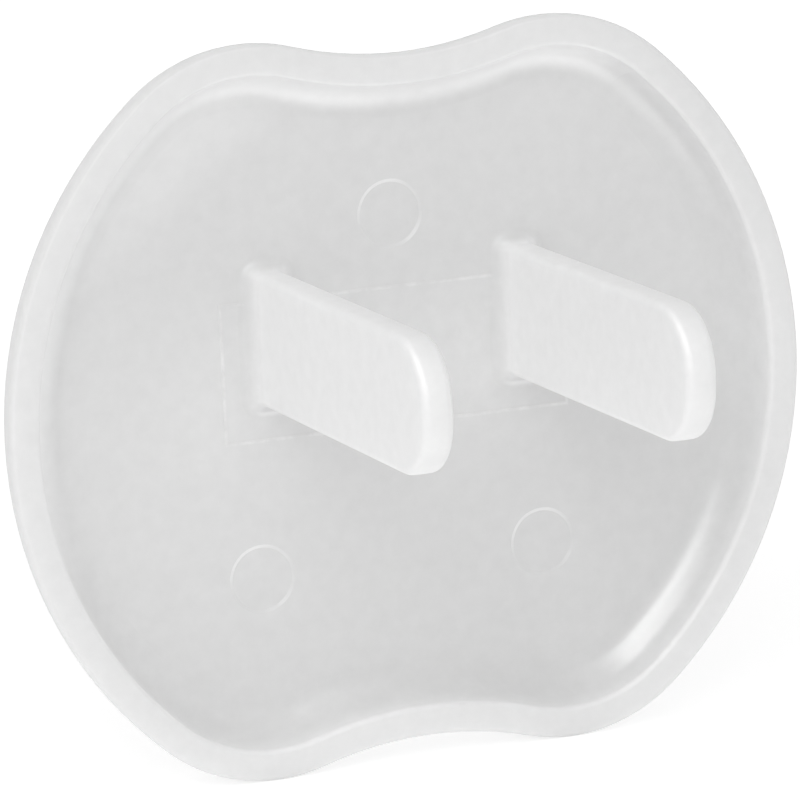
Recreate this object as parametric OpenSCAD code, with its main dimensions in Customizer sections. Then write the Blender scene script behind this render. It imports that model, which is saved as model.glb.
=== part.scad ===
// Plug-in safety cover for a mains outlet, moulded in one piece from frosted plastic.
// A lobed dish covers the outlet's face, and two flat blades push into its slots.
// It is placed as fitted: +Z is up and +Y points into the wall. The origin is on the
// plane where the rim meets the outlet, midway between the blades.

/* [Plate] */
// Width of the plate across its two side arcs
plate_w = 40; // [38:0.5:44]
// Height of the plate over its lobes
plate_h = 34.9; // [33:0.1:37.5]
// Radius of the four lobes
lobe_r = 8.3; // [7:0.1:9.5]
// Distance between the middles of the two upper lobes, and of the two lower ones
lobe_pitch = 15.12; // [13:0.02:17]
// Depth of the finger notches below the tops of the lobes
notch_dip = 1.1; // [0.7:0.1:2]
// Width of the flat rim that meets the outlet
rim_w = 1.5; // [1:0.1:2]
// Depth of the dish from the rim to its floor
dish_depth = 2.2; // [1.9:0.1:3]
// Thickness of the floor
floor_t = 1.2; // [0.9:0.1:2]
// Radius of the cove between the wall and the floor
cove_r = 1.8; // [0.8:0.1:2]
// Radius that rounds the room side of the plate
front_r = 3; // [1:0.1:3]
// Radius on the two edges of the rim
rim_edge_r = 0.25; // [0.1:0.05:0.4]

/* [Blades] */
// Distance between the middles of the two blades
blade_pitch = 12.7; // [12:0.1:13.4]
// Height of the blades above the middle of the plate
blade_rise = 3.3; // [0:0.1:4]
// Length of a blade beyond the rim
blade_len = 18.3; // [15.9:0.1:18.3]
// Width of a blade
blade_w = 6.3; // [5.5:0.1:6.4]
// Thickness of a blade
blade_t = 1.5; // [1.3:0.05:1.6]
// Straight width left between the round corners of a blade's tip
tip_flat = 0.5; // [0.2:0.1:3]
// Radius along a blade's long edges and round its tip
blade_edge_r = 0.35; // [0.1:0.05:0.5]
// Radius of the fillet round a blade's foot
foot_r = 0.75; // [0.3:0.05:1.2]

/* [Mould marks] */
// Radius of an ejector pin's mark
mark_r = 1.65; // [1:0.05:2]
// Depth of an ejector pin's mark
mark_depth = 0.06; // [0.05:0.01:0.2]
// Width of the slope round an ejector pin's mark
mark_slope = 0.16; // [0.05:0.01:0.4]
// Height of the upper mark above the middle of the plate
upper_mark_z = 8.5; // [8:0.1:10]
// Distance of the lower marks below the middle of the plate
lower_mark_z = 8.2; // [6:0.1:9]
// Distance of each lower mark from the centre line
lower_mark_x = 7.2; // [5:0.1:8]
// Width of the mould insert whose outline shows round the blades
insert_w = 17.4; // [16:0.1:19]
// Height of the mould insert
insert_h = 6.6; // [5:0.1:9]
// Distance of the insert's middle below the blades' middle
insert_drop = 1.6; // [0:0.1:2]
// Width of the fine line that the insert leaves
line_w = 0.16; // [0.1:0.02:0.3]
// Height of that line above the floor
line_h = 0.04; // [0.03:0.01:0.1]

/* [Hidden] */
$fn = 96;
frosted = [0.87, 0.87, 0.87];
// Overlap of two solids that join, and reach of a cutting solid past a surface
lap = 0.5;
total_t = dish_depth + floor_t;
// Cove and outer round, limited by the wall that they round
cove = min(cove_r, dish_depth - rim_edge_r);
front = min(front_r, total_t - rim_edge_r);
// Middle of the upper right lobe
lobe_x = lobe_pitch / 2;
lobe_z = plate_h / 2 - lobe_r;
// How far the side arcs stand out past the lobes
bulge = plate_w / 2 - lobe_x - lobe_r;
// Radius and middle of the right side arc, which touches both right lobes from outside
side_r = (pow(bulge + lobe_r, 2) + pow(lobe_z, 2) - pow(lobe_r, 2)) / (2 * bulge);
side_x = plate_w / 2 - side_r;
// Radius and middle of the upper notch, tangent to both lobes from outside
notch_r = (pow(lobe_x, 2) + pow(lobe_r - notch_dip, 2) - pow(lobe_r, 2)) / (2 * notch_dip);
notch_z = plate_h / 2 - notch_dip + notch_r;
// Directions in which the side arc and the notch meet a lobe
side_turn = atan2(lobe_z, lobe_x - side_x);
notch_turn = atan2(lobe_x, notch_z - lobe_z);
// Distances inside the outline at which the swept wall and the flat middle of the floor end
wall_in = rim_w + cove + 2 * lap;
middle_in = rim_w + cove + lap;
// Chords in each arc of the middle's outline, which is buried in the swept floor
chords = 6;
// Radius of the round corners of a blade's tip
tip_r = (blade_w - tip_flat) / 2;

// What is left of a square corner outside a round of radius r
module corner(r) {
    difference() {
        square(r);
        translate([r, r]) circle(r);
    }
}

// Section of the rim, wall and floor. X is the distance outside the outline, and Y 0 the seat.
module wall_section() {
    difference() {
        translate([-wall_in, -total_t]) square([wall_in, total_t]);
        // The dish and its cove
        difference() {
            translate([-wall_in - lap, -dish_depth]) square([wall_in + lap - rim_w, dish_depth + lap]);
            translate([-rim_w, -dish_depth]) mirror([1, 0]) corner(cove);
        }
        // The round on the room side and the two edges of the rim
        translate([0, -total_t]) mirror([1, 0]) corner(front);
        mirror([1, 0]) mirror([0, 1]) corner(rim_edge_r);
        translate([-rim_w, 0]) mirror([0, 1]) corner(rim_edge_r);
    }
}

// The section swept round a side arc or a lobe, which bulge outwards
module bulging_wall(r, from, to) {
    rotate_extrude(angle = to - from, start = from) translate([r, 0]) wall_section();
}

// The section swept round a notch, which bends inwards
module hollow_wall(r, from, to) {
    rotate_extrude(angle = to - from, start = from) translate([r, 0]) mirror([1, 0]) wall_section();
}

// Wall along a quarter of the outline: half a side arc, a lobe and half a notch
module quarter_wall() {
    translate([side_x, 0]) rotate_extrude(angle = side_turn)
        translate([-side_x, 0]) translate([plate_w / 2, 0]) wall_section();
    translate([lobe_x, lobe_z]) bulging_wall(lobe_r, side_turn, 90 + notch_turn);
    translate([0, notch_z]) hollow_wall(notch_r, 270, 270 + notch_turn);
}

// Points along an arc round [x, z]
function arc(x, z, r, from, to) = [
    for (i = [0 : chords])
        let (a = from + (to - from) * i / chords)
        [x + r * cos(a), z + r * sin(a)]
];

// A quarter of the flat middle of the floor
module quarter_middle() {
    polygon(concat(
        [[0, 0]],
        arc(side_x, 0, side_r - middle_in, 0, side_turn),
        arc(lobe_x, lobe_z, lobe_r - middle_in, side_turn, 90 + notch_turn),
        arc(0, notch_z, notch_r + middle_in, 270 + notch_turn, 270)
    ));
}

// The lobed dish, its seat on Z 0 and the outlet above it
module dish() {
    for (i = [0, 1], j = [0, 1]) mirror([i, 0, 0]) mirror([0, j, 0]) {
        quarter_wall();
        translate([0, 0, -total_t]) linear_extrude(floor_t) quarter_middle();
    }
}

// Shallow round mark of an ejector pin in the floor
module ejector_mark(x, z) {
    translate([x, z, -dish_depth - mark_depth]) cylinder(h = mark_depth, r1 = mark_r - mark_slope, r2 = mark_r);
    translate([x, z, -dish_depth]) cylinder(h = lap, r = mark_r);
}

// Fine raised line left round the insert that moulds the blades
module insert_line() {
    linear_extrude(line_h + lap) difference() {
        square([insert_w + line_w, insert_h + line_w], center = true);
        square([insert_w - line_w, insert_h - line_w], center = true);
    }
}

// Section of a blade, with round edges
module blade_section() {
    square([blade_t - 2 * blade_edge_r, blade_w], center = true);
    square([blade_t, blade_w - 2 * blade_edge_r], center = true);
    for (x = [-1, 1], y = [-1, 1])
        translate([x * (blade_t / 2 - blade_edge_r), y * (blade_w / 2 - blade_edge_r)]) circle(blade_edge_r);
}

// Half of the tip's section, from the middle of its round corner to its round edge
module tip_section() {
    intersection() {
        translate([tip_r - blade_w / 2, 0]) rotate(90) blade_section();
        translate([0, -blade_t]) square([tip_r + lap, 2 * blade_t]);
    }
}

// Section of the foot's fillet: the blade's face is X blade_edge_r and the floor is Y 0
module foot_section() {
    translate([0, -lap]) square([blade_edge_r, lap + foot_r]);
    translate([0, -lap]) square([blade_edge_r + foot_r, lap]);
    translate([blade_edge_r, 0]) corner(foot_r);
}

// Fillet round a quarter of a blade's foot: half of each side and the corner between them
module quarter_foot() {
    half_t = blade_t / 2 - blade_edge_r;
    half_w = blade_w / 2 - blade_edge_r;
    translate([half_t, half_w]) rotate_extrude(angle = 90) foot_section();
    translate([half_t, half_w]) rotate([90, 0, 0]) linear_extrude(half_w) foot_section();
    translate([0, half_w]) rotate([90, 0, 90]) linear_extrude(half_t) foot_section();
}

// One blade and its fillet, standing on the floor at Z 0
module blade() {
    shoulder = blade_len + dish_depth - tip_r;
    translate([0, 0, -lap]) linear_extrude(lap + shoulder) blade_section();
    for (side = [-1, 1]) translate([0, side * tip_flat / 2, shoulder])
        rotate([0, 90, 0]) rotate_extrude() tip_section();
    translate([0, tip_flat / 2, shoulder]) rotate([90, 0, 0]) linear_extrude(tip_flat) rotate(90) tip_section();
    for (i = [0, 1], j = [0, 1]) mirror([i, 0, 0]) mirror([0, j, 0]) quarter_foot();
}

module cover() {
    color(frosted) rotate([90, 0, 180]) {
        translate([0, -blade_rise]) difference() {
            dish();
            ejector_mark(0, upper_mark_z);
            for (side = [-1, 1]) ejector_mark(side * lower_mark_x, -lower_mark_z);
        }
        translate([0, -insert_drop, -dish_depth - lap]) insert_line();
        for (side = [-1, 1]) translate([side * blade_pitch / 2, 0, -dish_depth]) blade();
    }
}

cover();
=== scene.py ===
# %% [markdown]
# # A plug-in outlet safety cover
#
# The cover is one small moulding in milky plastic: a shallow lobed dish with two flat blades that push into the
# slots of a mains outlet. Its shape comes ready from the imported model, so this lesson is about the rest: seeing
# it from the photograph's side, lighting pale plastic on white, and giving the plastic its milky depth.

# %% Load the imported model
import math

import bpy
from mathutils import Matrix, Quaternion, Vector


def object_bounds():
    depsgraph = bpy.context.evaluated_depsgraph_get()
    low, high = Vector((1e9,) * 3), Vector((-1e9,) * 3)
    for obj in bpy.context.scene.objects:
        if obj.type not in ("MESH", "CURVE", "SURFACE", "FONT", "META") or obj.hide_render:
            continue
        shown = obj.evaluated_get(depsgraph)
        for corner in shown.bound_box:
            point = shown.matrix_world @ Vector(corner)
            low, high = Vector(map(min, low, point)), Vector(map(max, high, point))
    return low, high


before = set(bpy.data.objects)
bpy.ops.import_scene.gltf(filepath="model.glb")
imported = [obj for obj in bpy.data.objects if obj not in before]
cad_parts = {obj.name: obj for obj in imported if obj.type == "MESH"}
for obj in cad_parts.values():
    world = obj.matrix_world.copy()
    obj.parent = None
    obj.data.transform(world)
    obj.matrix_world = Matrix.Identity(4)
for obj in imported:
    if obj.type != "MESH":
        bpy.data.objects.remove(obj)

MM = 0.001
cad_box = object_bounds()
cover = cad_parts["cover"]
print("cover:", len(cover.data.vertices), "points, box", [round(v / MM, 2) for corner in cad_box for v in corner])

# %% [markdown]
# ## The photograph's view
#
# The picture looks into the dish from the outlet's side, a little from above and with a long lens. A camera could
# be placed by eye, but the blades' known spacing fixes its distance and direction. So the camera is written as a
# maker would measure it: two angles round the plate, one distance and a small roll. The lamps are placed in the
# same way later on, so the two helpers come first.

# %% Directions and aiming
PLATE_MIDDLE = Vector((0, 0, -3.3 * MM))


def direction(azimuth, elevation):
    """Unit vector from the object towards a point seen at these angles, in degrees."""
    a, e = math.radians(azimuth), math.radians(elevation)
    return Vector((math.sin(a) * math.cos(e), -math.cos(a) * math.cos(e), math.sin(e)))


def aim(thing, place, target, roll=0.0):
    """Puts a camera or lamp at a place and points it at a target, rolled clockwise by an angle in degrees."""
    thing.location = place
    thing.rotation_mode = "QUATERNION"
    turn = Quaternion((target - place).normalized(), math.radians(roll))
    thing.rotation_quaternion = turn @ (target - place).to_track_quat("-Z", "Y")


print("straight at the dish:", [round(v, 2) for v in direction(180, 0)])

# %% Camera
VIEW_AZIMUTH = 157.78
VIEW_ELEVATION = 11.85
VIEW_ROLL = 2.35
VIEW_DISTANCE = 280 * MM
NEAREST_SEEN = 10 * MM
IMAGE_SIDE = 800
PIXELS_PER_MM = 21.35
MIDDLE_PIXEL = (415.0, 398.8)    # where the plate's middle lies in the image
SENSOR = 36


def make_camera():
    """The photograph's camera. It turns a little aside to put the plate's middle on its pixel, without a shift."""
    data = bpy.data.cameras.new("photo_camera")
    data.sensor_width = SENSOR
    data.lens = SENSOR * PIXELS_PER_MM * VIEW_DISTANCE / MM / IMAGE_SIDE
    data.clip_start = NEAREST_SEEN
    camera = bpy.data.objects.new("photo_camera", data)
    bpy.context.scene.collection.objects.link(camera)
    back = direction(VIEW_AZIMUTH, VIEW_ELEVATION)
    right = Vector((0, 0, 1)).cross(back).normalized()
    up = back.cross(right)
    turn = math.radians(VIEW_ROLL)
    image_right = right * math.cos(turn) - up * math.sin(turn)
    image_up = up * math.cos(turn) + right * math.sin(turn)
    off_x = (IMAGE_SIDE / 2 - MIDDLE_PIXEL[0]) / PIXELS_PER_MM * MM
    off_y = (MIDDLE_PIXEL[1] - IMAGE_SIDE / 2) / PIXELS_PER_MM * MM
    target = PLATE_MIDDLE + image_right * off_x + image_up * off_y
    aim(camera, PLATE_MIDDLE + back * VIEW_DISTANCE, target, VIEW_ROLL)
    bpy.context.scene.camera = camera
    return camera


camera = make_camera()
print("camera:", round(camera.data.lens), "mm lens,", round(math.degrees(camera.data.angle), 2), "degrees wide")

# %% [markdown]
# ## A white studio
#
# A catalogue picture of milky plastic is taken in a light tent on a glowing table: soft light from everywhere, also
# from below, and weak softboxes that give the forms a direction. A bare lamp would be quicker, but it would draw
# hard shadows of the blades in the dish. The white that the camera sees behind the object is kept apart from the
# light that falls on it, so the background can be pure white while the plastic stays below white and keeps its
# shading.

# %% Colour settings and node helpers
bpy.context.scene.view_settings.view_transform = "Standard"
WHITE = (1, 1, 1, 1)


def add(tree, kind, links=None, **settings):
    """Adds a node, sets its inputs and properties by name, and links outputs to its inputs."""
    node = tree.nodes.new(kind)
    for name, value in settings.items():
        setattr(node, name, value)
    for name, source in (links or {}).items():
        if isinstance(source, bpy.types.NodeSocket):
            tree.links.new(source, node.inputs[name])
        else:
            node.inputs[name].default_value = source
    return node


def combine(tree, operation, first, *others):
    """Joins values or outputs, one after the other, by one kind of arithmetic."""
    for other in others:
        first = add(tree, "ShaderNodeMath", {0: first, 1: other}, operation=operation).outputs[0]
    return first


def light_or_look(tree, light, look):
    """Strength that lights the object with one value, and shows another to the camera, to gloss and through glass."""
    path = add(tree, "ShaderNodeLightPath").outputs
    seen = combine(tree, "MAXIMUM", path["Is Camera Ray"], path["Is Glossy Ray"], path["Is Transmission Ray"])
    return add(tree, "ShaderNodeMapRange", {"Value": seen, "To Min": light, "To Max": look}).outputs[0]


print("view transform:", bpy.context.scene.view_settings.view_transform)

# %% [markdown]
# ## The light tent
#
# The tent's cloth is the world: even light from all round, at a little over half strength, so that the pale plastic
# doesn't clip to white. A picture of a real studio could stand in for it, but that would need a file, and plain
# white is all that the plastic mirrors here.

# %% Soft fill from all round
FILL = 0.58
TENT_LOOK = 1.0


def make_world():
    world = bpy.data.worlds.new("light_tent")
    world.use_nodes = True
    tree = world.node_tree
    tree.nodes.clear()
    tent = add(tree, "ShaderNodeBackground", {"Color": WHITE, "Strength": light_or_look(tree, FILL, TENT_LOOK)})
    add(tree, "ShaderNodeOutputWorld", {"Surface": tent.outputs[0]})
    bpy.context.scene.world = world
    return world


print("world:", make_world().name, "with a fill of", FILL)

# %% [markdown]
# ## The glowing table
#
# The cover stands on a pale sheet that is lit from inside, so light reaches the faces that look down. A plain floor
# would be simpler, but its edge would show against the white. Here the sheet looks a little darker near the cover
# and brighter further out. Far away it melts into the tent's white, and near the cover it stays just white enough
# that the cover's own shadow shows.

# %% Paper of the table
TABLE_PAPER = (0.8, 0.8, 0.8, 1)
TABLE_GLOW = 0.30
NEAR_LOOK = 0.47
FAR_LOOK = 0.6
NEAR_REACH = 30 * MM
FAR_REACH = 150 * MM


def make_paper():
    """White paper that glows, by one strength for the object and by another, which grows outwards, to look at."""
    paper = bpy.data.materials.new("glowing_white")
    paper.use_nodes = True
    tree = paper.node_tree
    tree.nodes.clear()
    sheet = add(tree, "ShaderNodeBsdfDiffuse", {"Color": TABLE_PAPER})
    place = add(tree, "ShaderNodeTexCoord")
    reach = add(tree, "ShaderNodeVectorMath", {0: place.outputs["Object"]}, operation="LENGTH")
    look = add(tree, "ShaderNodeMapRange", {
        "Value": reach.outputs["Value"], "From Min": NEAR_REACH, "From Max": FAR_REACH,
        "To Min": NEAR_LOOK, "To Max": FAR_LOOK})
    glow = add(tree, "ShaderNodeEmission", {
        "Color": WHITE, "Strength": light_or_look(tree, TABLE_GLOW, look.outputs[0])})
    both = add(tree, "ShaderNodeAddShader", {0: sheet.outputs[0], 1: glow.outputs[0]})
    add(tree, "ShaderNodeOutputMaterial", {"Surface": both.outputs[0]})
    return paper


paper = make_paper()
print("paper:", paper.name, "looks", NEAR_LOOK, "near the cover and", FAR_LOOK, "further out")

# %% Table
TABLE_SIDE = 1.2


def make_table():
    """A square sheet at the height of the lower lobes."""
    half = TABLE_SIDE / 2
    mesh = bpy.data.meshes.new("white_table")
    mesh.from_pydata([(-half, -half, 0), (half, -half, 0), (half, half, 0), (-half, half, 0)], [], [(0, 1, 2, 3)])
    mesh.materials.append(paper)
    floor = bpy.data.objects.new("white_table", mesh)
    floor.location.z = cad_box[0][2]
    bpy.context.scene.collection.objects.link(floor)
    return floor


floor = make_table()
print("table at", round(floor.location.z / MM, 2), "mm")

# %% [markdown]
# ## Two softboxes
#
# In the tent alone the dish would look flat. Two weak softboxes, one in front and one behind, make the upper left a
# little lighter. They are broad and stand half a metre away, because smaller lamps would draw the blades' shadows
# sharply on the floor of the dish.

# %% Softboxes
LAMP_DISTANCE = 0.5
SOFTBOX_SIDE = 0.3


def softbox(name, azimuth, elevation, width, height, watts, roll=0.0):
    """A rectangular lamp that faces the plate from a direction in degrees, with sizes in metres."""
    data = bpy.data.lights.new(name, "AREA")
    data.shape = "RECTANGLE"
    data.size = width
    data.size_y = height
    data.energy = watts
    lamp = bpy.data.objects.new(name, data)
    bpy.context.scene.collection.objects.link(lamp)
    aim(lamp, PLATE_MIDDLE + direction(azimuth, elevation) * LAMP_DISTANCE, PLATE_MIDDLE, roll)
    return lamp


front = softbox("front_softbox", azimuth=150, elevation=30, width=SOFTBOX_SIDE, height=SOFTBOX_SIDE, watts=0.48)
behind = softbox("rear_softbox", azimuth=90, elevation=60, width=SOFTBOX_SIDE, height=SOFTBOX_SIDE, watts=0.16)
print("softboxes:", front.data.energy, "W in front and", behind.data.energy, "W behind")

# %% [markdown]
# ## Two lamps for gloss alone
#
# The bright stripe in the lower right of the dish is the mirror image of a long lamp in the cove, and the glow along
# the upper cove is the image of something bright and low in front of the dish. Lamps as bright as these images
# would light all of the plastic, so these two give only the images: the plastic mirrors them and takes no other
# light from them. The low one shines upwards in a narrowed beam, so that the parts beside it don't mirror it.

# %% Gloss panel
gloss = softbox("gloss_panel", azimuth=126, elevation=46, width=0.9, height=0.35, watts=10.5, roll=22.0)
gloss.visible_diffuse = False
gloss.visible_transmission = False
print("gloss panel:", gloss.data.energy, "W, long side along",
      [round(v, 2) for v in gloss.rotation_quaternion @ Vector((1, 0, 0))])

# %% Low gloss strip
STRIP_PLACE = Vector((-10, 13, -20.2)) * MM
STRIP_BEAM = math.radians(100)
low = softbox("low_strip", azimuth=180, elevation=0, width=60 * MM, height=20 * MM, watts=0.0066)
low.data.spread = STRIP_BEAM
aim(low, STRIP_PLACE, STRIP_PLACE + Vector((0, 0, 1)))
low.visible_camera = False
low.visible_diffuse = False
low.visible_transmission = False
print("low strip:", low.data.energy, "W at", [round(v / MM, 1) for v in low.location], "mm")

# %% [markdown]
# ## Milky plastic
#
# The real cover is moulded in polyethylene or polypropylene without pigment. Light enters it, scatters a
# millimetre or so and leaves again, so edges look soft and thin walls look greyer than thick ones, because part of
# the light goes out through the far side. Tracing all that light is slow. Here a little real scattering softens
# the edges, and masks by place and direction on the object paint the greys into the colour: painted shade on thin
# walls and painted light where light would come through. Each kind of mask is a node group with named sockets, so
# the material that uses them stays short.

# %% Node group helpers
VALUE, VECTOR = "NodeSocketFloat", "NodeSocketVector"
POSITION = ("Position", VECTOR, None)
NORMAL = ("Normal", VECTOR, None)


def group(name, inputs, outputs):
    """A new shader node group with its named sockets, what it is given and what it puts out."""
    tree = bpy.data.node_groups.new(name, "ShaderNodeTree")
    for label, kind, value in inputs:
        socket = tree.interface.new_socket(label, in_out="INPUT", socket_type=kind)
        if value is not None:
            socket.default_value = value
    for label in outputs:
        tree.interface.new_socket(label, in_out="OUTPUT", socket_type=VALUE)
    return tree, tree.nodes.new("NodeGroupInput").outputs, tree.nodes.new("NodeGroupOutput").inputs


def fade(tree, value, full, none):
    """1 where a value has reached full, 0 where it is at none, with a soft step between them."""
    return add(tree, "ShaderNodeMapRange", {"Value": value, "From Min": none, "From Max": full},
               interpolation_type="SMOOTHSTEP").outputs[0]


def mix_tone(tree, mask, a, b):
    """Goes from a to b as a mask goes from 0 to 1."""
    return add(tree, "ShaderNodeMix", {"Factor": mask, "A": a, "B": b}).outputs[0]


def unsigned(tree, value):
    """A value without its sign, for a form that mirrors itself."""
    return combine(tree, "ABSOLUTE", value, 0.0)


def dot(tree, a, b):
    """How far one vector reaches along another."""
    return add(tree, "ShaderNodeVectorMath", {0: a, 1: b}, operation="DOT_PRODUCT").outputs["Value"]


print("sockets in use:", VALUE, "and", VECTOR)

# %% [markdown]
# ## Masks of the plate
#
# The rim is thicker than the floor and looks lighter, and the wall of the dish leads from one tone to the other;
# the wall's lift towards the rim's tone also paints light into the dish's cove over its shade.
# The depth below the seat tells all three apart. The outer side is where the surface looks away from the middle.
# The outer faces of the blades do that too, so in the blades' band of height the mask begins further out. The
# masks could be painted on the mesh, but a formula stays sharp from any distance and needs no unwrapping.

# %% Group: masks of the plate
RIM_DEPTH = (0.15 * MM, 0.65 * MM)      # in this pair and those below: where the mask is full, and where it has gone
WALL_DEPTH = (0.3 * MM, 2.1 * MM)
OUTWARD_REACH = (7 * MM, 3 * MM)
BLADE_BAND = (6 * MM, 8 * MM)
BESIDE_BLADES = (12 * MM, 10 * MM)


def make_plate_masks():
    """Masks for the rim, the dish's wall and the plate's outer side."""
    tree, given, result = group("plate_masks", [POSITION, NORMAL], ("Rim", "Wall", "Outer side"))
    place = add(tree, "ShaderNodeSeparateXYZ", {0: given["Position"]}).outputs
    depth = combine(tree, "MULTIPLY", place["Y"], -1.0)
    flat = add(tree, "ShaderNodeVectorMath", {0: given["Position"], 1: (1, 0, 1)}, operation="MULTIPLY").outputs[0]
    outward = fade(tree, dot(tree, flat, given["Normal"]), *OUTWARD_REACH)
    beside = fade(tree, unsigned(tree, place["X"]), *BESIDE_BLADES)
    past_blades = mix_tone(tree, fade(tree, unsigned(tree, place["Z"]), *BLADE_BAND), 1.0, beside)
    outer = combine(tree, "MULTIPLY", outward, past_blades)
    tree.links.new(combine(tree, "MAXIMUM", fade(tree, depth, *RIM_DEPTH), outer), result["Rim"])
    tree.links.new(fade(tree, depth, *WALL_DEPTH), result["Wall"])
    tree.links.new(outer, result["Outer side"])
    return tree


print("group:", make_plate_masks().name)

# %% [markdown]
# ## Masks of the blades
#
# Light enters a blade from both sides, so it looks lighter than the floor, and its round end is painted lightest.
# Towards its foot and on its underside the blade is painted darker, as painted shade, and there and on the foot's
# fillet the gloss is gone.
# Two blades could have two masks, but they mirror each other, so one mask with the side's sign taken off does for
# both. The masks end below the floor's surface, so that nothing of them shows on the room side.

# %% Group: masks of the blades
FOOT_SIDE = (1.5 * MM, 2.0 * MM)
FOOT_END = (3.9 * MM, 4.4 * MM)
FOOT_ABOVE = (1.4 * MM, 0.8 * MM)
FOOT_BELOW = (2.05 * MM, 2.18 * MM)
BLADE_DEPTH = (2.4 * MM, 2.8 * MM)
CLEAR_OF_FOOT = (-1.0 * MM, -2.0 * MM)
# painted shade: towards its foot and on its underside the blade keeps less of its lighter tone
FOOT_SHADED_SHARE = 0.45                       # what the foot and the underside keep of the blade's mask
UNDERSIDE_SHADED_SHARE = 0.45
LOOKS_DOWN = (-0.7, -0.1)
TIP_REACH = (16 * MM, 14.5 * MM)
TIP_FACING = (0.9, 0.1)


def make_blade_masks():
    """Masks for the blades with their painted shade, for their dull feet and undersides, and for their ends' painted
    light.
    """
    tree, given, result = group(
        "blade_masks",
        [POSITION, NORMAL, ("Blade offset", VALUE, 6.35 * MM), ("Half width", VALUE, 3.15 * MM),
         ("Half thickness", VALUE, 0.75 * MM), ("Side softness", VALUE, 0.45 * MM), ("End softness", VALUE, 0.3 * MM)],
        ("Blade", "Foot", "Tip"))
    place = add(tree, "ShaderNodeSeparateXYZ", {0: given["Position"]}).outputs
    facing = add(tree, "ShaderNodeSeparateXYZ", {0: given["Normal"]}).outputs
    depth = combine(tree, "MULTIPLY", place["Y"], -1.0)
    high = unsigned(tree, place["Z"])
    off = unsigned(tree, combine(tree, "SUBTRACT", unsigned(tree, place["X"]), given["Blade offset"]))
    thick, wide = given["Half thickness"], given["Half width"]
    near = fade(tree, off, thick, combine(tree, "ADD", thick, given["Side softness"]))
    within = fade(tree, high, wide, combine(tree, "ADD", wide, given["End softness"]))
    blade = combine(tree, "MULTIPLY", near, within, fade(tree, depth, *BLADE_DEPTH))
    under = fade(tree, facing["Z"], *LOOKS_DOWN)
    kept = combine(tree, "MULTIPLY", mix_tone(tree, fade(tree, place["Y"], *CLEAR_OF_FOOT), FOOT_SHADED_SHARE, 1.0),
                   mix_tone(tree, under, 1.0, UNDERSIDE_SHADED_SHARE))
    foot = combine(tree, "MULTIPLY", fade(tree, off, *FOOT_SIDE), fade(tree, high, *FOOT_END),
                   fade(tree, depth, *FOOT_ABOVE), fade(tree, depth, *FOOT_BELOW))
    end = combine(tree, "MULTIPLY", fade(tree, place["Y"], *TIP_REACH), fade(tree, facing["Y"], *TIP_FACING))
    tree.links.new(combine(tree, "MULTIPLY", blade, kept), result["Blade"])
    tree.links.new(combine(tree, "MAXIMUM", foot, combine(tree, "MULTIPLY", blade, under)), result["Foot"])
    tree.links.new(combine(tree, "MULTIPLY", blade, mix_tone(tree, under, end, 0.0)), result["Tip"])
    return tree


print("group:", make_blade_masks().name)

# %% [markdown]
# ## Light that comes through
#
# Where the plastic looks towards the lamps, part of the light goes in, and on faces turned away from them light that
# crossed the plastic comes out. These masks paint that light into the colour: painted light on the faces turned away,
# so they look lighter than their shade would be, and painted shade on the outer side where it faces the lamps. A faint
# painted glow is also laid on the side of the plate where the light goes in. Transmission through the whole body would
# show this of itself, but with much more noise in the same time.

# %% Group: light that comes through
TOWARDS_LAMPS = (0.6, 0, 0.8)
GOING_IN = (0.7, 0.1)
COMING_OUT = (-0.65, 0.0)
WIDE_PAINTED_GLOW_REACH = (2 * MM, -15 * MM)


def make_through_light():
    """Masks for faces towards the lamps, for faces turned away from them, and for the painted glow on the lamps' side.
    """
    tree, given, result = group(
        "through_light",
        [POSITION, NORMAL, ("Towards lamp", VECTOR, TOWARDS_LAMPS), ("Painted glow from", VALUE, 9.5 * MM),
         ("Painted glow to", VALUE, 15.5 * MM), ("Near painted glow", VALUE, 0.46), ("Wide painted glow", VALUE, 0.075)],
        ("Goes in", "Comes out", "Painted glow"))
    facing = dot(tree, given["Normal"], given["Towards lamp"])
    reach = dot(tree, given["Position"], given["Towards lamp"])
    near = combine(tree, "MULTIPLY", fade(tree, reach, given["Painted glow to"], given["Painted glow from"]), given["Near painted glow"])
    wide = combine(tree, "MULTIPLY", fade(tree, reach, *WIDE_PAINTED_GLOW_REACH), given["Wide painted glow"])
    tree.links.new(fade(tree, facing, *GOING_IN), result["Goes in"])
    tree.links.new(fade(tree, facing, *COMING_OUT), result["Comes out"])
    tree.links.new(combine(tree, "MAXIMUM", near, wide), result["Painted glow"])
    return tree


print("group:", make_through_light().name)

# %% [markdown]
# ## The mould insert's outline
#
# The part of the mould that forms the blades is a separate insert, and its edge leaves a fine raised line on the
# floor round their feet. The line is in the solid, but it is so low that its shading alone hardly shows. A second
# line on top would be out of place, so a mask paints a highlight on the solid's own. It also marks the surface inside
# the line, which is a little more uneven. Both end just above and just below the floor's surface.

# %% Group: outline of the mould insert
LINE_ABOVE_FLOOR = (0.05 * MM, 0.1 * MM)
LINE_BELOW_FLOOR = (-0.2 * MM, -0.5 * MM)
INSIDE_EDGE = (-0.4 * MM, 0.0)


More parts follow.
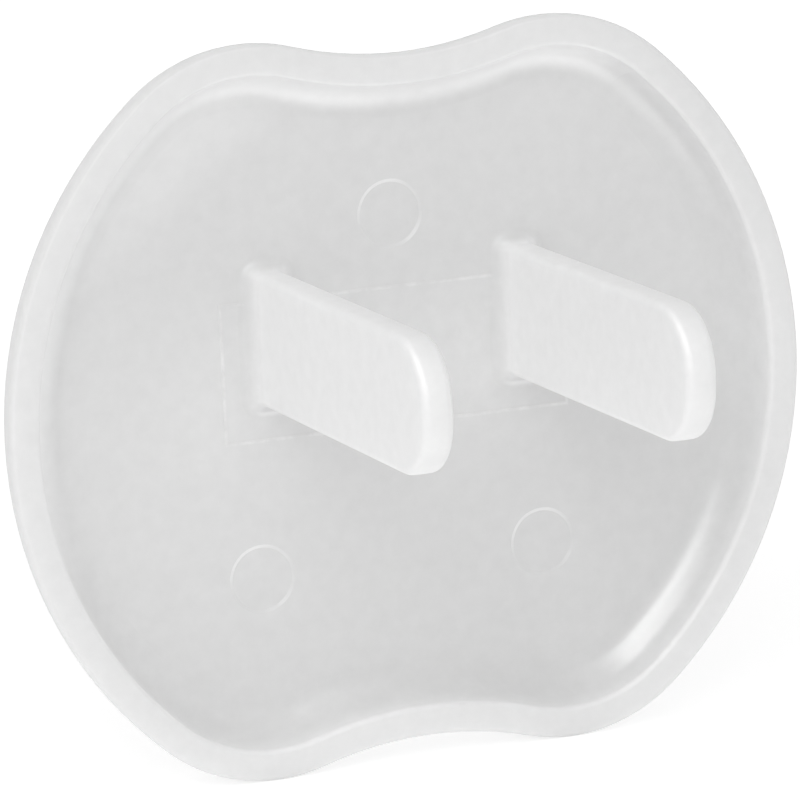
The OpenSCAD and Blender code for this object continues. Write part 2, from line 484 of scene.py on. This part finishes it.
def make_insert_outline():
    """Masks for the painted highlight on the fine line round the blades' feet, and for the more uneven surface inside
    it.
    """
    tree, given, result = group(
        "insert_outline",
        [POSITION, ("Half width", VALUE, 8.7 * MM), ("Half height", VALUE, 3.3 * MM), ("Drop", VALUE, 1.6 * MM),
         ("Line width", VALUE, 0.16 * MM), ("Floor depth", VALUE, 2.2 * MM)],
        ("Line", "Inside"))
    place = add(tree, "ShaderNodeSeparateXYZ", {0: given["Position"]}).outputs
    x = unsigned(tree, place["X"])
    z = unsigned(tree, combine(tree, "ADD", place["Z"], given["Drop"]))
    outside = combine(tree, "MAXIMUM", combine(tree, "SUBTRACT", x, given["Half width"]),
                      combine(tree, "SUBTRACT", z, given["Half height"]))
    height = combine(tree, "ADD", place["Y"], given["Floor depth"])
    on_floor = combine(tree, "MULTIPLY", fade(tree, height, *LINE_ABOVE_FLOOR), fade(tree, height, *LINE_BELOW_FLOOR))
    line = fade(tree, unsigned(tree, outside), 0.0, given["Line width"])
    tree.links.new(combine(tree, "MULTIPLY", line, on_floor), result["Line"])
    tree.links.new(combine(tree, "MULTIPLY", fade(tree, outside, *INSIDE_EDGE), on_floor), result["Inside"])
    return tree


print("group:", make_insert_outline().name)

# %% [markdown]
# ## Cloudiness
#
# Plastic without pigment is never quite even: flow and cooling in the mould leave fine cloudy patches, under a
# millimetre wide. A flat pattern would have to be wrapped round the dish and the blades and would show its seams. A
# noise that fills space runs through the body instead, and it is the same in each run.

# %% Group: cloudiness
CLOUD_DETAIL = 3.0
CLOUD_ROUGHNESS = 0.6


def make_cloudiness():
    """Fine uneven patches between 0 and 1."""
    tree, given, result = group("cloudiness", [POSITION, ("Size", VALUE, 0.8 * MM)], ("Value",))
    noise = add(tree, "ShaderNodeTexNoise", {
        "Vector": given["Position"], "Scale": combine(tree, "DIVIDE", 1.0, given["Size"]),
        "Detail": CLOUD_DETAIL, "Roughness": CLOUD_ROUGHNESS})
    tree.links.new(noise.outputs["Fac"], result["Value"])
    return tree


print("group:", make_cloudiness().name)

# %% [markdown]
# ## The plastic's grey
#
# The greys go from the thin floor over the wall to the rim, and from there to the blades, their ends and the faces
# where light comes out. These steps are painted light and shade in the colour. Each step takes what the last one
# left and mixes in one more tone by its mask, so a single tone can be changed without touching the others. One
# ramp over the depth would be shorter, but it couldn't tell a blade's face from the dish's wall at the same depth.

# %% Masks placed in the material
MASK_GROUPS = ("plate_masks", "blade_masks", "through_light", "insert_outline", "cloudiness")


def place_masks(tree):
    """Puts every mask group in a material and gives it the place and direction on the object."""
    surface = add(tree, "ShaderNodeTexCoord").outputs
    masks = {}
    for name in MASK_GROUPS:
        node = add(tree, "ShaderNodeGroup", node_tree=bpy.data.node_groups[name])
        for label, source in (("Position", "Object"), ("Normal", "Normal")):
            if label in node.inputs:
                tree.links.new(surface[source], node.inputs[label])
        masks.update({socket.name: socket for socket in node.outputs})
    return masks


print("mask groups:", len(MASK_GROUPS))

# %% Grey of the plastic
# painted shade: the thin floor is greyer than the thick rim, in place of light leaving through its far side
THIN_TONE = 0.695
RIM_TONE = 0.79
# painted shade on the outer side where it faces the lamps
OUTER_PAINTED_SHADE_TONE = 0.71                        # where light goes in on the outer side
# the blades' tone; their mask paints shade towards the foot and on the underside
BLADE_TONE = 0.875
# painted light on the blades' round ends, in place of light carried along the blade
TIP_TONE = 0.93
# painted light: faces turned away from the lamps, the glow on the lamps' side and the insert's line
PAINTED_LIGHT_TONE = 0.96
# painted light in the dish's cove: the wall takes part of the rim's lighter tone over its shade
WALL_SHARE = 0.75                       # how much of the rim's tone the wall takes
RIM_HOLDS = 0.6                         # how much of the light that comes out the rim holds back
# painted highlight on the insert's line, broken up by the cloudiness
LINE_BREAKS = (0.65, 0.35)
LINE_FAINT = 0.1
LINE_CLEAR = 0.32


def solid_plastic(tree, masks):
    """Mask of the thick parts, the rim and the blades."""
    return combine(tree, "MAXIMUM", masks["Rim"], masks["Blade"])


def light_out(tree, masks):
    """Mask of the painted light that comes out, which the outer side, blades and feet hold back, and the rim in part.
    """
    held = combine(tree, "MAXIMUM", masks["Outer side"], masks["Blade"], masks["Foot"])
    held = combine(tree, "MAXIMUM", combine(tree, "MULTIPLY", masks["Rim"], RIM_HOLDS), held)
    return mix_tone(tree, held, masks["Comes out"], 0.0)


def plastic_grey(tree, masks, solid, comes_out):
    """The plastic's tone with its painted light and shade, before its cloudiness."""
    wall = combine(tree, "MULTIPLY", masks["Wall"], WALL_SHARE)
    tone = mix_tone(tree, combine(tree, "MAXIMUM", masks["Rim"], wall), THIN_TONE, RIM_TONE)
    tone = mix_tone(tree, combine(tree, "MULTIPLY", masks["Goes in"], masks["Outer side"]), tone, OUTER_PAINTED_SHADE_TONE)
    tone = mix_tone(tree, masks["Blade"], tone, BLADE_TONE)
    tone = mix_tone(tree, masks["Tip"], tone, TIP_TONE)
    painted_glow = mix_tone(tree, solid, masks["Painted glow"], 0.0)
    broken = mix_tone(tree, fade(tree, masks["Value"], *LINE_BREAKS), LINE_FAINT, LINE_CLEAR)
    line = combine(tree, "MULTIPLY", masks["Line"], broken)
    return mix_tone(tree, combine(tree, "MAXIMUM", comes_out, painted_glow, line), tone, PAINTED_LIGHT_TONE)


print("greys from", THIN_TONE, "on the thin floor to", PAINTED_LIGHT_TONE, "where light comes out")

# %% [markdown]
# ## Gloss, grain and scattering
#
# The dish is polished, the rim and blades are duller, and the outer side and the feet are dullest, so the gloss
# follows the same masks as the grey. The cloudiness varies both a little. The index, the weight of the scattering
# and its reach are the same all over, so they are plain numbers on the shader itself.

# %% Milky plastic
CAVITY_ROUGHNESS = 0.33
LIT_ROUGHNESS = 0.45
RIM_ROUGHNESS = 0.55
OUTER_ROUGHNESS = 0.9
GRAIN = 0.05
INSERT_GRAIN = 0.06
PLASTIC_IOR = 1.49
SCATTER_REACH = 3.0 * MM


def plastic_roughness(tree, masks, solid, comes_out):
    """The plastic's roughness, before its cloudiness."""
    satin = mix_tone(tree, solid, CAVITY_ROUGHNESS, RIM_ROUGHNESS)
    satin = mix_tone(tree, comes_out, satin, LIT_ROUGHNESS)
    dull = combine(tree, "MAXIMUM", masks["Outer side"], masks["Foot"])
    return mix_tone(tree, dull, satin, OUTER_ROUGHNESS)


def make_plastic():
    plastic = bpy.data.materials.new("milky_plastic")
    plastic.use_nodes = True
    tree = plastic.node_tree
    shader = tree.nodes["Principled BSDF"].inputs
    masks = place_masks(tree)
    solid, comes_out = solid_plastic(tree, masks), light_out(tree, masks)
    grain = mix_tone(tree, masks["Inside"], GRAIN, INSERT_GRAIN)
    uneven = add(tree, "ShaderNodeMapRange", {
        "Value": masks["Value"], "To Min": combine(tree, "SUBTRACT", 1.0, grain),
        "To Max": combine(tree, "ADD", 1.0, grain)}).outputs[0]
    grey = plastic_grey(tree, masks, solid, comes_out)
    satin = plastic_roughness(tree, masks, solid, comes_out)
    tree.links.new(combine(tree, "MULTIPLY", grey, uneven), shader["Base Color"])
    tree.links.new(combine(tree, "MULTIPLY", satin, uneven), shader["Roughness"])
    shader["IOR"].default_value = PLASTIC_IOR
    shader["Subsurface Weight"].default_value = 1.0
    shader["Subsurface Radius"].default_value = (1, 1, 1)
    shader["Subsurface Scale"].default_value = SCATTER_REACH
    return plastic


cover.material_slots[0].material = make_plastic()
print("cover material:", cover.material_slots[0].material.name)
